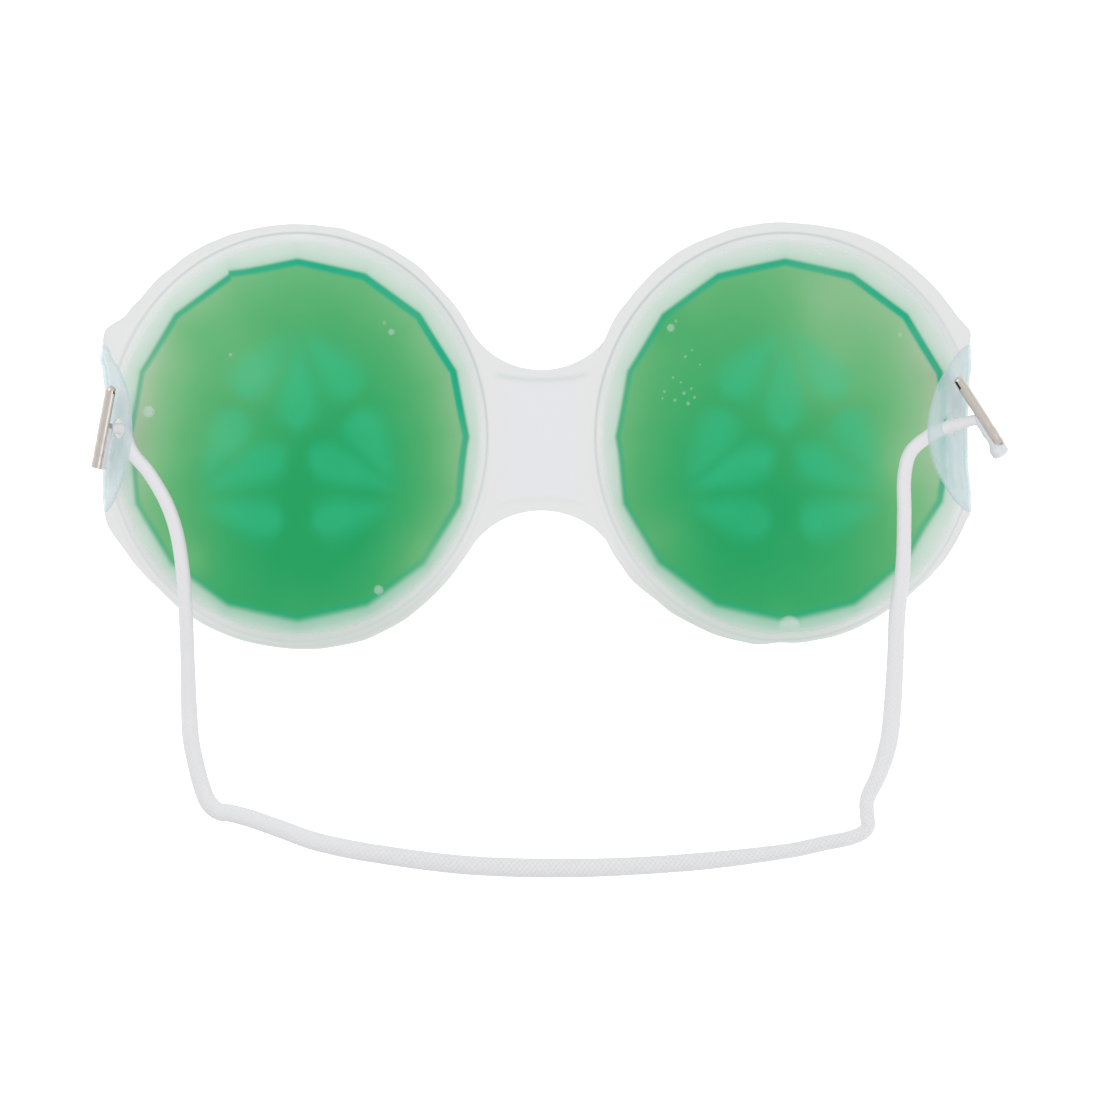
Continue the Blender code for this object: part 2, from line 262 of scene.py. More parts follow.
# How far each pad's edge stands out of its ellipse, in millimetres at degrees from its tab.
EDGE_SWELL = {
    "left": [(-180, 0.6), (-108, 0.6), (-85, -0.1), (-48, 0.0), (-36, 0.6), (-24, 1.7), (28, 4.0),
             (36, 1.4), (42, 1.0), (60, 0.7), (84, 0.2), (180, 0.1)],
    "right": [(-180, 1.2), (-138, 1.0), (-126, 0.2), (-100, -0.5), (-90, -1.3), (-60, -1.5), (-30, -0.5),
              (-24, -0.5), (28, 2.6), (36, 1.4), (66, 1.0), (84, 0.4), (120, 0.9), (180, 0.5)],
}
# How far each fold waves outwards, in millimetres at shares of its length from the lower end.
FOLD_WAVES = {
    "left": [(0.0, 0.8), (0.12, 0.6), (0.26, 0.5), (0.45, 0.1), (0.72, 0.1), (0.84, 0.5), (0.93, 1.4),
             (1.0, 1.2)],
    "right": [(0.0, 0.7), (0.1, 0.2), (0.3, -0.5), (0.5, -0.6), (0.75, -0.2), (0.9, 0.3), (1.0, 0.7)],
}
FOLD_PINCH = 0.12

# Metal barb.
BARB_RADIUS = 1.15 * MM
BARB_WALL = 0.3 * MM
BARB_UP = 9.6 * MM
NOTCH_EASE = 0.25 * MM
NOTCH_TURN = radians(55)
CRIMPS = (3.2 * MM, 6.4 * MM)
CRIMP_WIDTH = 0.7 * MM
CRIMP_DEPTH = 0.07

# Head cord: its route in millimetres, the stretch at each tab that moves with it, and its braid.
CORD_DIAMETER = 3.4 * MM
CORD_END_LENGTH = 32 * MM
CORD_ROUTE = [
    (-94.51, 1.8, 10.24), (-92.42, 1.8, 8.77), (-91.4, 1, 8), (-90.8, -0.6, 7.6), (-90.2, -2.4, 7.6),
    (-88.8, -4.7, 7.9), (-85.9, -8.2, 8.6), (-82.2, -14.6, 9), (-79.9, -21.5, 8.7), (-78.6, -30, 7.6),
    (-78, -38.8, 6.3), (-77.6, -49, 3.5), (-77.3, -59, 1.76), (-76.9, -66, 1.76), (-75.8, -71.7, 1.76),
    (-74.4, -77, 1.76), (-72.9, -80.4, 1.76), (-70.7, -82.2, 1.76), (-68, -82.6, 1.76),
    (-63, -84, 1.76), (-56.5, -86.3, 1.76), (-49, -88.9, 1.76), (-36.7, -91.4, 1.76), (-16, -94, 1.76),
    (8, -94.6, 1.76), (32, -93.4, 1.76), (52.5, -91.1, 1.76), (62, -89.2, 1.76), (68.5, -87.8, 1.76),
    (71.5, -85.8, 1.76), (71.4, -82.5, 1.76), (71.6, -79.2, 1.76), (74.1, -73.8, 1.76),
    (76.2, -66.8, 1.76), (77.1, -58.4, 1.76), (77.7, -48, 3.7), (78.1, -38.5, 6.3), (79.3, -29, 7.8),
    (79.6, -17, 9.1), (79.6, -9, 9.5), (81, -3.4, 9.2), (85.2, 0.3, 8.1), (87.4, 1.4, 7.6),
    (89.98, 2.4, 8.3), (95.77, 3.89, 11.6),
]
# Half widths in millimetres at shares of the cord's length: it is flattened where it is slack.
CORD_HALF_WIDTHS = [(0.0, 1.15), (0.03, 1.5), (0.16, 1.58), (0.22, 1.85), (0.29, 1.95), (0.36, 2.05),
                    (0.48, 2.1), (0.58, 1.95), (0.65, 1.65), (0.70, 1.6), (0.76, 2.0), (0.83, 1.85),
                    (0.90, 1.6), (0.97, 1.5), (1.0, 1.15)]
BRAID_SHOWS = [(0.0, 0.2), (0.3, 0.25), (0.42, 1.0), (0.66, 1.0), (0.78, 0.35), (1.0, 0.2)]
CORD_HALF_HEIGHT = 1.62 * MM
CORD_OVER_TABLE = 0.02 * MM
CORD_SIDES = 48
CORD_STEP = 0.24 * MM
STRANDS = 9
STRAND_CELL = 1.15 * MM
STRAND_RELIEF = 0.1 * MM

# Seeds of the printed slice: each one's tip across and up from the pad's centre, its length and its
# width in millimetres, and its turn in degrees. The other half of the slice mirrors them.
INK_SEEDS = [(0.0, 21.3, 19.6, 8.2, -90), (1.7, 22.2, 17.2, 8.7, -51), (18.45, -10.65, 19.6, 8.2, 150),
             (20.08, -9.63, 17.2, 8.7, 111), (18.38, -12.57, 17.2, 8.7, 189)]
# The same seeds as they show through the gel, which bends the light.
SEEN_SEEDS = [(0.0, 21.6, 19.8, 8.2, -90), (1.9, 22.4, 17.2, 8.6, -50), (20.8, -11.4, 19.6, 8.4, 157),
              (20.9, -9.4, 17.0, 8.6, 120), (20.3, -15.0, 17.4, 8.4, 194)]
SEED_WIDEST = 0.615

# Painted highlights and painted shade in the gel, as soft spots: across and up from the pad's centre
# and size, in millimetres, then the strength, above 0 for a highlight and below 0 for shade.
PAINTED_LIGHT_SPOTS = {
    "left": [(-9.5, 14.0, 6.5, 22), (-15.0, 0.0, 5.0, 19), (-26.0, 24.0, 6.0, -20), (-25.0, -27.0, 6.0, 26),
             (27.0, -26.0, 6.0, 20)],
    "right": [(9.0, 29.0, 8.0, 26), (9.0, 15.0, 8.5, 24), (25.0, -6.0, 6.0, 24), (-29.0, 26.0, 6.5, -26),
              (-26.0, -22.0, 6.0, 18)],
}

# Camera and light.
VIEW_WIDTH = 0.2413
VIEW_SHIFT = 0.7 * MM
CAMERA_HEIGHT = 0.6
LIGHT_GAIN = 1.22


# ---------- colours and node materials

def paint(red, green, blue):
    """The surface colour that looks like this 8-bit sRGB colour under the studio light."""
    linear = []
    for value in (red, green, blue):
        v = value / 255
        v = v / 12.92 if v <= 0.04045 else ((v + 0.055) / 1.055) ** 2.4
        linear.append(min(v / LIGHT_GAIN, 0.95))
    return (*linear, 1.0)


class Paint:
    """Builds the nodes of one material round its Principled shader."""

    def __init__(self, name, roughness, metallic=0.0, specular=0.5, coat=0.0):
        self.material = bpy.data.materials.new(name)
        self.material.use_nodes = True
        self.tree = self.material.node_tree
        self.shader = self.tree.nodes["Principled BSDF"]
        self.set("Roughness", roughness)
        self.set("Metallic", metallic)
        self.set("Specular IOR Level", specular)
        self.set("Coat Weight", coat)
        self.set("Coat Roughness", 0.12)

    def set(self, socket, value):
        self.feed(self.shader.inputs[socket], value)

    def feed(self, socket, value):
        if isinstance(value, bpy.types.NodeSocket):
            self.tree.links.new(value, socket)
        else:
            socket.default_value = value

    def node(self, kind, **inputs):
        node = self.tree.nodes.new(f"ShaderNode{kind}")
        for socket, value in inputs.items():
            self.feed(node.inputs[socket], value)
        return node

    def mask(self, name):
        node = self.node("Attribute")
        node.attribute_name = name
        return node.outputs["Fac"]

    def cloud(self, scale, detail=3.0, stretch=(1, 1, 1)):
        """Noise in coordinates that stay on the surface when it bends."""
        place = self.node("UVMap")
        place.uv_map = "flat"
        mapping = self.node("Mapping", Scale=stretch, Vector=place.outputs["UV"])
        return self.node("TexNoise", Vector=mapping.outputs["Vector"], Scale=scale,
                         Detail=detail).outputs["Fac"]

    def math(self, operation, a, b, clamp=False):
        node = self.node("Math")
        node.operation = operation
        node.use_clamp = clamp
        self.feed(node.inputs[0], a)
        self.feed(node.inputs[1], b)
        return node.outputs[0]

    def spread(self, value, low, high):
        """A 0 to 1 value moved onto the range from low to high."""
        return self.math("ADD", self.math("MULTIPLY", value, high - low), low)

    def mix(self, factor, a, b):
        node = self.node("Mix")
        node.data_type = "RGBA"
        for socket, value in ((0, factor), (6, a), (7, b)):
            self.feed(node.inputs[socket], value)
        return node.outputs[2]

    def ramp(self, factor, stops):
        """Colours, given in 8-bit sRGB, along a 0 to 1 factor."""
        node = self.node("ValToRGB", Fac=factor)
        elements = node.color_ramp.elements
        while len(elements) < len(stops):
            elements.new(0.5)
        for element, (position, colour) in zip(elements, stops):
            element.position = position
            element.color = paint(*colour)
        return node.outputs["Color"]

    def bump(self, height, distance, strength=1.0):
        node = self.node("Bump", Strength=strength, Distance=distance, Height=height)
        self.feed(self.shader.inputs["Normal"], node.outputs["Normal"])


def slice_colour(p, wash, ring_colour):
    """The printed slice's colour from the masks that each pad's mesh carries."""
    # On the gel the paleness also holds painted highlights and painted shade; on the print it is only the slice's
    # tone.
    flesh = p.ramp(p.math("ADD", p.mask("pale"), p.spread(p.cloud(160), -0.03, 0.03)), [
        (0.0, (30, 158, 93)), (0.15, (56, 166, 101)), (0.29, (78, 170, 106)), (0.43, (98, 177, 116)),
        (0.57, (119, 182, 128)), (0.71, (139, 187, 141)), (0.85, (160, 191, 156)), (1.0, (182, 202, 178)),
    ])
    seeds = p.math("MULTIPLY", p.mask("seed"), p.spread(p.cloud(70), 0.5 * wash, 1.5 * wash))
    flesh = p.mix(seeds, flesh, paint(50, 193, 144))
    ring = p.math("MULTIPLY", p.mask("ring"), p.spread(p.cloud(45), 0.62, 1.3), clamp=True)
    return p.mix(ring, flesh, ring_colour)


def gel_material():
    """Soft gel, seen through the clear film, with the print showing through it."""
    p = Paint("gel_with_print_below", 0.38, specular=0.03, coat=0.03)
    inside = slice_colour(p, 0.36, paint(28, 168, 130))
    outside = p.ramp(p.math("ADD", p.mask("halo"), p.spread(p.cloud(240), -0.03, 0.03)), [
        (0.0, (216, 220, 219)), (0.14, (206, 218, 211)), (0.30, (190, 213, 199)),
        (0.45, (172, 204, 187)), (0.65, (150, 197, 174)), (1.0, (98, 180, 146)),
    ])
    p.set("Base Color", p.mix(p.mask("outside"), inside, outside))
    p.bump(p.cloud(90, 2.0), 0.12 * MM, 0.5)
    return p.material


def print_material():
    """Ink on the inside of the front film."""
    p = Paint("slice_print", 0.45, specular=0.3, coat=0.3)
    colour = slice_colour(p, 0.85, paint(14, 138, 104))
    p.set("Base Color", p.mix(p.spread(p.cloud(900, 2.0), 0.0, 0.16), colour, paint(210, 232, 205)))
    p.bump(p.cloud(1600, 2.0), 0.02 * MM, 0.5)
    return p.material


def film_material(name, roughness):
    """Soft clear vinyl, frosted where it is welded. The mask "cover" is how much it hides."""
    p = Paint(name, roughness, specular=0.28, coat=0.1)
    grain = p.cloud(220, 4.0)
    base = p.mix(p.spread(grain, 0.0, 0.5), paint(225, 225, 225), paint(222, 224, 225))
    base = p.mix(p.mask("panel"), base, paint(224, 225, 229))
    base = p.mix(p.mask("shade"), base, paint(203, 211, 206))
    base = p.mix(p.mask("line"), base, paint(178, 194, 190))
    base = p.mix(p.mask("rim"), base, paint(222, 221, 219))
    p.set("Base Color", base)
    p.set("Alpha", p.mask("cover"))
    p.set("Roughness", p.spread(grain, roughness - 0.08, roughness + 0.12))
    p.bump(p.math("ADD", grain, p.math("MULTIPLY", p.cloud(2400, 2.0), 0.05)), 0.1 * MM, 0.4)
    return p.material


def tab_material():
    p = Paint("tab_vinyl", 0.3, specular=0.45, coat=0.3)
    smudge = p.ramp(p.cloud(170, 3.0, (1.6, 0.7, 1.0)), [
        (0.0, (199, 214, 217)), (0.48, (194, 211, 215)), (0.62, (180, 205, 209)), (1.0, (164, 197, 201)),
    ])
    p.set("Base Color", p.mix(p.mask("rim"), smudge, paint(186, 203, 209)))
    p.set("Alpha", p.mask("cover"))
    p.set("Roughness", p.spread(p.cloud(300), 0.24, 0.42))
    p.bump(p.cloud(160, 4.0), 0.25 * MM, 0.6)
    return p.material


def cord_material():
    """White elastic braid, with painted shade deep between the strands and along the cord's two flat sides; the grain
    runs along the strands.
    """
    p = Paint("elastic_braid", 0.85, specular=0.2)
    fibre = p.cloud(3.2, 3.0, (1.0, 2.6, 1.0))
    thread = p.mix(p.spread(fibre, 0.0, 0.5), paint(228, 228, 230), paint(216, 216, 219))
    p.set("Base Color", p.mix(p.mask("valley"), thread, paint(202, 202, 205)))
    p.set("Sheen Weight", 0.12)
    p.set("Sheen Roughness", 0.5)
    p.bump(fibre, 0.06 * MM, 0.7)
    return p.material


def core_material():
    """The cord's pressed and melted end."""
    p = Paint("melted_cord_end", 0.5, specular=0.4)
    fibre = p.cloud(2.0, 3.0, (2.5, 0.6, 1.0))
    p.set("Base Color", p.mix(fibre, paint(232, 232, 236), paint(200, 203, 206)))
    p.bump(fibre, 0.12 * MM, 0.8)
    return p.material


def barb_material():
    """Nickel plated strip with fine drawing marks. Its inner side is painted dark as shade, and this runs over onto
    its cut edges.
    """
    p = Paint("plated_barb", 0.34, metallic=0.55, specular=0.6)
    marks = p.cloud(1.4, 4.0, (6.0, 0.35, 1.0))
    plate = p.mix(marks, paint(214, 208, 201), paint(190, 182, 174))
    # Painted shade: the inner side of the rolled strip is dark.
    p.set("Base Color", p.mix(p.mask("inner"), plate, paint(52, 46, 42)))
    p.set("Roughness", p.spread(marks, 0.28, 0.5))
    p.bump(marks, 0.03 * MM, 0.6)
    return p.material


def bubble_material():
    p = Paint("air_bubble", 0.35, specular=0.2, coat=0.1)
    p.set("Base Color", p.mix(p.cloud(600), paint(214, 222, 217), paint(194, 212, 202)))
    p.set("Alpha", p.mask("cover"))
    return p.material


# ---------- shared geometry

def smoothstep(value):
    t = min(max(value, 0.0), 1.0)
    return t * t * (3 - 2 * t)


def lerp(start, end, share):
    return start + (end - start) * share


def bell(value, width):
    return exp(-((value / width) ** 2))


def between(table, share):
    """A smooth value from a short table of (share, value)."""
    for (s0, v0), (s1, v1) in zip(table, table[1:]):
        if share <= s1:
            return lerp(v0, v1, smoothstep((share - s0) / (s1 - s0)))
    return table[-1][1]


def let_light_by(obj):
    """The soft studio light reaches all round thin pieces, so they leave no dark patch below."""
    obj.visible_shadow = False
    obj.visible_diffuse = False


def add_object(name, data):
    obj = bpy.data.objects.new(name, data)
    bpy.context.scene.collection.objects.link(obj)
    return obj


def add_piece(name, verts, faces, material, masks=None, flat=None, sharp=50):
    """A mesh from world points, with its masks as attributes and its flat coordinates as UVs."""
    mesh = bpy.data.meshes.new(name)
    mesh.from_pydata([tuple(v) for v in verts], [], faces)
    bm = bmesh.new()
    bm.from_mesh(mesh)
    bmesh.ops.recalc_face_normals(bm, faces=bm.faces)
    bm.to_mesh(mesh)
    bm.free()
    mesh.shade_smooth()
    mesh.set_sharp_from_angle(angle=radians(sharp))
    for key, values in (masks or {}).items():
        attribute = mesh.attributes.new(key, "FLOAT", "POINT")
        attribute.data.foreach_set("value", np.asarray(values, np.float32))
    if flat is not None:
        corners = np.zeros(len(mesh.loops), np.int32)
        mesh.loops.foreach_get("vertex_index", corners)
        layer = mesh.uv_layers.new(name="flat")
        layer.data.foreach_set("uv", np.asarray(flat, np.float32)[corners].ravel())
    mesh.materials.append(material)
    return add_object(name, mesh)


def close_shell(outer, inner, faces):
    """Points and faces of a closed sheet: its two sides and the rim between them."""
    count = len(outer)
    used = {(a, b) for face in faces for a, b in zip(face, face[1:] + face[:1])}
    rim = [(a, b) for a, b in used if (b, a) not in used]
    rim.sort()
    closed = list(faces)
    closed += [tuple(count + i for i in reversed(face)) for face in faces]
    closed += [(b, a, a + count, b + count) for a, b in rim]
    return list(outer) + list(inner), closed


def add_shell(name, outer, inner, faces, material, masks, flat=None):
    """A closed sheet whose two sides have the same masks and the same flat coordinates."""
    verts, closed = close_shell(outer, inner, faces)
    flat = flat or [(v.x, v.y) for v in outer]
    return add_piece(name, verts, closed, material, {key: values * 2 for key, values in masks.items()},
                     flat * 2)


def settle(piece, side, body, part):
    """The body that a piece rides on, the CAD piece that it stands for, and its material slot."""
    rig.ride(piece, f"{side.label}_{body}")
    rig.replaces(piece, f"{side.label}_{part}")
    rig.slot(piece, part)
    return piece


def wrap(angle):
    """The same angle between minus pi and pi."""
    return (angle + pi) % tau - pi


def ellipse_radius(radii, angle):
    return 1 / hypot(cos(angle) / radii[0], sin(angle) / radii[1])


def fold_wave(side, y):
    share = (y - TAB_LOW_Y) / (TAB_TOP_Y - TAB_LOW_Y)
    return between(FOLD_WAVES[side.label], share) * MM


def fold_bend(y):
    """The fold's radius, smaller where it runs out at either end of the tab."""
    share = (y - TAB_LOW_Y) / (TAB_TOP_Y - TAB_LOW_Y)
    return TAB_BEND * (0.45 + 0.55 * smoothstep(min(share, 1 - share) / FOLD_PINCH))


def tab_span(side):
    """How far the fold is from the pad's centre, and the angles of its lower and upper ends."""
    reach = abs(side.fold.x) - TAB_START - abs(side.x)
    return reach, atan2(TAB_LOW_Y, reach), atan2(TAB_TOP_Y, reach)


def flange_radius(side, angle):
    """The pad's outer edge, as a radius about its centre. Angle 0 points at the tab."""
    angle = wrap(angle)
    reach, low, top = tab_span(side)
    held = min(max(angle, low), top)
    y = reach * tan(held)
    fold = (reach + fold_wave(side, y) + 1.2 * (TAB_BEND - fold_bend(y))) / cos(held)
    swell = between(EDGE_SWELL[side.label], degrees(angle)) * MM
    ease = smoothstep(abs(angle - held) / CORNER_EASE)
    return lerp(fold, ellipse_radius(FLANGE_RADII, angle) + swell, ease)


def seam_radius(side, angle):
    return min(ellipse_radius(SEAM_RADII, angle), flange_radius(side, angle) - SEAM_MARGIN)


def world_angle(side, angle):
    """The angle about the pad's centre from +X, from the one that starts at the tab."""
    return atan2(sin(angle), side.sign * cos(angle))


def print_radius(side, angle):
    """A regular polygon stretched to an ellipse, with a small slip in the print by one corner."""
    half = pi / PRINT_CORNERS
    across = (angle % (2 * half)) - half
    radius = ellipse_radius(PRINT_RADII, angle) * cos(half) / cos(across)
    slip = (world_angle(side, angle) - pi / 2) / (2 * half)
    if side.label == "left" and 0 < slip <= 1.0001:
        radius += PRINT_STEP * slip**4
    radius *= 1 + (PRINT_LOW_STRETCH - 1) * smoothstep(-sin(angle) / 0.5)
    radius += side.lean * max(0.0, -cos(angle)) ** 4 - side.tuck * bell(wrap(angle) + 0.6, 0.4)
    return min(radius, PRINT_SHARE_MOST * seam_radius(side, angle))


def place_on_pad(side, x, y):
    """The radius about the pad's centre, and the seam's radius that way."""
    across = side.sign * (x - side.x)
    return hypot(across, y), seam_radius(side, atan2(y, across))


def pad_point(side, radius, angle, z):
    return Vector((side.x + side.sign * radius * cos(angle), radius * sin(angle), z))


def ripple(point, amount):
    """Soft waves in the thin film, seeded by place alone."""
    return amount * noise.noise(Vector((point.x * 130, point.y * 130, 3.7)))


def top_z(share):
    """Outer surface of the face-side film. Share is 0 at the pad's centre and 1 at the seam."""
    return FLANGE_Z + FLANGE_HALF + DOME_RISE * (1 - min(share, 1.0) ** 2)


def low_z(share):
    """Outer surface of the printed film: flat on the table, then up to the flange."""
    return LOW_RISE * smoothstep((share - FLAT_SHARE) / (1 - FLAT_SHARE))


def angle_list(keys, step):
    """Angles all round, with every key angle among them and no gap wider than the step."""
    keys = sorted({round(wrap(key), 6) for key in keys})
    angles = []
    for a, b in zip(keys, keys[1:] + [keys[0] + tau]):
        parts = max(1, ceil((b - a) / step))
        angles += [a + (b - a) * i / parts for i in range(parts)]
    return angles


def print_corners():
    corners = [tau * i / PRINT_CORNERS for i in range(PRINT_CORNERS)]
    slip_end = pi / 2 + tau / PRINT_CORNERS
    return corners + [slip_end + 0.008, pi - slip_end - 0.008]


def ring_faces(start, around, rings, closed=True):
    """Faces between rings of points that follow one another from the start index."""
    faces = []
    for a in range(start, start + (rings - 1) * around, around):
        b = a + around
        for i in range(around if closed else around - 1):
            j = (i + 1) % around
            faces.append((a + i, a + j, b + j, b + i))
    return faces


def polar_faces(rings, around):
    """Faces of a centre point and rings about it."""
    centre = [(0, 1 + i, 1 + (i + 1) % around) for i in range(around)]
    return centre + [(a, d, c, b) for a, b, c, d in ring_faces(1, around, rings)]


# ---------- camera, light and table

def make_stage():
    low, high = cad_box
    scene = bpy.context.scene
    data = bpy.data.cameras.new("camera")
    data.type = "ORTHO"
    data.ortho_scale = VIEW_WIDTH
    scene.camera = add_object("camera", data)
    scene.camera.location = ((low.x + high.x) / 2 - VIEW_SHIFT, (low.y + high.y) / 2, CAMERA_HEIGHT)
    scene.view_settings.view_transform = "Standard"

    scene.world = bpy.data.worlds.new("studio")
    scene.world.use_nodes = True
    background = scene.world.node_tree.nodes["Background"]
    background.inputs["Color"].default_value = (1.0, 1.0, 1.0, 1.0)
    background.inputs["Strength"].default_value = 0.86
    for name, place, power in (("key_light", (-0.55, 0.45, 0.6), 3.4),
                               ("fill_light", (0.6, -0.3, 0.55), 2.4)):
        lamp = bpy.data.lights.new(name, "AREA")
        lamp.energy = power
        lamp.size = 0.5
        light = add_object(name, lamp)
        light.location = place
        light.rotation_euler = (-Vector(place)).to_track_quat("-Z", "Y").to_euler()

    half = 1.5
    mesh = bpy.data.meshes.new("table_top")
    mesh.from_pydata([(-half, -half, 0), (half, -half, 0), (half, half, 0), (-half, half, 0)],
                     [], [(0, 1, 2, 3)])
    p = Paint("white_table", 0.9, specular=0.0)
    p.set("Base Color", (0.97, 0.97, 0.97, 1.0))
    p.set("Emission Color", (1.0, 1.0, 1.0, 1.0))
    p.set("Emission Strength", 0.3)
    # Seen from below the table is clear, so that the underside can be looked at.
    choose = p.node("MixShader")
    p.feed(choose.inputs[0], p.node("NewGeometry").outputs["Backfacing"])
    p.feed(choose.inputs[1], p.shader.outputs[0])
    p.feed(choose.inputs[2], p.node("BsdfTransparent").outputs[0])
    p.feed(p.tree.nodes["Material Output"].inputs["Surface"], choose.outputs[0])
    mesh.materials.append(p.material)
    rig.stage(add_object("table_top", mesh))


# ---------- head cord

def smooth_route(points):
    """Close points along one smooth curve through the route, with the length at each."""
    pts = [Vector(p) * MM for p in points]
    pts = [2 * pts[0] - pts[1]] + pts + [2 * pts[-1] - pts[-2]]
    dense = [pts[1]]
    for a, b, c, d in zip(pts, pts[1:], pts[2:], pts[3:]):
        for i in range(1, 25):
            t = i / 24
            dense.append(0.5 * (2 * b + (c - a) * t + (2 * a - 5 * b + 4 * c - d) * t**2
                                + (3 * b - a - 3 * c + d) * t**3))
    lengths = [0.0]
    for a, b in zip(dense, dense[1:]):
        lengths.append(lengths[-1] + (b - a).length)
    return dense, lengths


def route_between(route, start, end):
    """Evenly spaced lengths and points on the route, from one length along it to another."""
    dense, lengths = route
    wanted = np.linspace(start, end, round((end - start) / CORD_STEP) + 1)
    return wanted, np.stack([np.interp(wanted, lengths, column) for column in zip(*dense)], 1)


def braid(around, along):
    """Height of the plaited strands, 0 between them and 1 on the uppermost."""
    a = around * STRANDS / tau + along / STRAND_CELL
    b = around * STRANDS / tau - along / STRAND_CELL
    sin_a, sin_b = np.sin(np.pi * a), np.sin(np.pi * b)
    over = np.clip(2.5 * sin_a * sin_b, -1, 1)
    high_a = np.abs(sin_a) ** 0.6 * (0.62 + 0.38 * over)
    high_b = np.abs(sin_b) ** 0.6 * (0.62 - 0.38 * over)
    return np.maximum(high_a, high_b)


def make_cord(name, lengths, centres, total, material):
    """A braided tube round evenly spaced points, its section wider than high where it is slack."""
    tangents = np.gradient(centres, axis=0)
    tangents /= np.linalg.norm(tangents, axis=1)[:, None]
    across = np.cross(tangents, (0, 0, 1))
    across /= np.linalg.norm(across, axis=1)[:, None]
    over = np.cross(across, tangents)
    turns = np.arange(CORD_SIDES) * tau / CORD_SIDES
    wide = np.array([between(CORD_HALF_WIDTHS, length / total) for length in lengths]) * MM
    high = np.minimum(CORD_HALF_HEIGHT, wide)
    relief = braid(turns[None, :], lengths[:, None])
    slack = np.array([between(BRAID_SHOWS, length / total) for length in lengths])[:, None]
    grow = (relief - 0.75) * STRAND_RELIEF * (0.4 + 0.6 * slack)
    x = (wide[:, None] + grow) * np.cos(turns)
    y = (high[:, None] + grow) * np.sin(turns)
    verts = centres[:, None] + across[:, None] * x[..., None] + over[:, None] * y[..., None]
    verts = verts.reshape(-1, 3)
    verts[:, 2] = np.maximum(verts[:, 2], CORD_OVER_TABLE)
    faces = ring_faces(0, CORD_SIDES, len(centres))
    for end in (0, len(verts) - CORD_SIDES):
        faces.append(tuple(range(end, end + CORD_SIDES)))
    flat = np.stack(np.broadcast_arrays(turns[None, :] * 1.7, lengths[:, None] / MM), -1)
    # Painted shade: darker between the strands where the braid shows, and along the cord's two flat sides.
    flank_shade = 0.55 * np.abs(np.cos(turns))[None, :] ** 6
    valley = np.maximum(np.clip(1.1 - 1.6 * relief, 0, 1) * slack, flank_shade)
    return add_piece(name, verts, faces, material, {"valley": valley.ravel()},
                     flat.reshape(-1, 2), sharp=70)


# Each stretch of the cord: the two bodies that it bends between, where along X, and its CAD piece.
STRETCHES = {
    "left_head_cord": ("left_pad", "left_tab", -82.0 * MM, -90.5 * MM, "left_cord_end"),
    "head_cord_run": ("left_pad", "right_pad", 0.0, 55.0 * MM, "cord_run"),
    "right_head_cord": ("right_pad", "right_tab", 82.0 * MM, 90.0 * MM, "right_cord_end"),
}


def make_cords():
    """The cord's three stretches, each with its own path from where it leaves the object."""
    route = smooth_route(CORD_ROUTE)
    total = route[1][-1]
    material = cord_material()
    cuts = [0.0, CORD_END_LENGTH, total - CORD_END_LENGTH, total]
    cords = []
    for name, start, end in zip(STRETCHES, cuts, cuts[1:]):
        lengths, centres = route_between(route, start, end)
        cord = make_cord(name, lengths, centres, total, material)
        let_light_by(cord)
        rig.slot(cord, "cord")
        path = centres.tolist()
        cords.append((cord, path if end < total else path[::-1], end - start))
    return cords


def place_cords(cords, on_cord):
    """On_cord gives the pieces at the far end of a stretch, where it has any."""
    for cord, path, length in cords:
        first, second, start, end, node = STRETCHES[cord.name]
        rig.blend(cord, first, second, start=(start, 0, 0), end=(end, 0, 0))
        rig.replaces(cord, node)
        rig.cord(cord, exit=path[0], length=length, diameter=CORD_DIAMETER, far_end="object",
                stiffness="limp", lay="loose", path=path, with_pieces=on_cord.get(cord.name, ()))


# ---------- films and bridge

def flange_bead(step, facing_up):
    """Height over the flange: a weld bead just outside the seam, then the flat pressed band."""
    bead = 0.1 * bell(step - 0.14, 0.12) - 0.03 * bell(step - 0.38, 0.12)
    lip = 0.04 * bell(step - 0.95, 0.08)
    return (bead + lip) * MM * (1 if facing_up else -1)


def film_rings():
    """(share of the seam radius, step over the flange) for each ring of a film."""
    domes = [0.06, 0.14, 0.22, 0.3, 0.38, 0.46, 0.54, 0.61, 0.68, 0.74, 0.79, 0.83, 0.865, 0.89,
             0.91, 0.93, 0.95, 0.965, 0.978, 0.988, 0.995]
    steps = [0.0, 0.05, 0.1, 0.14, 0.18, 0.24, 0.32, 0.42, 0.54, 0.66, 0.78, 0.87, 0.94, 0.98, 1.0]
    return [(share, 0.0) for share in domes] + [(1.0, step) for step in steps]


def seam_strength(angle):
    """How clearly the weld line shows: most on the upper side and towards the nose."""
    return 0.3 + 0.5 * max(0.0, -0.5 * cos(angle) + 0.6 * sin(angle))


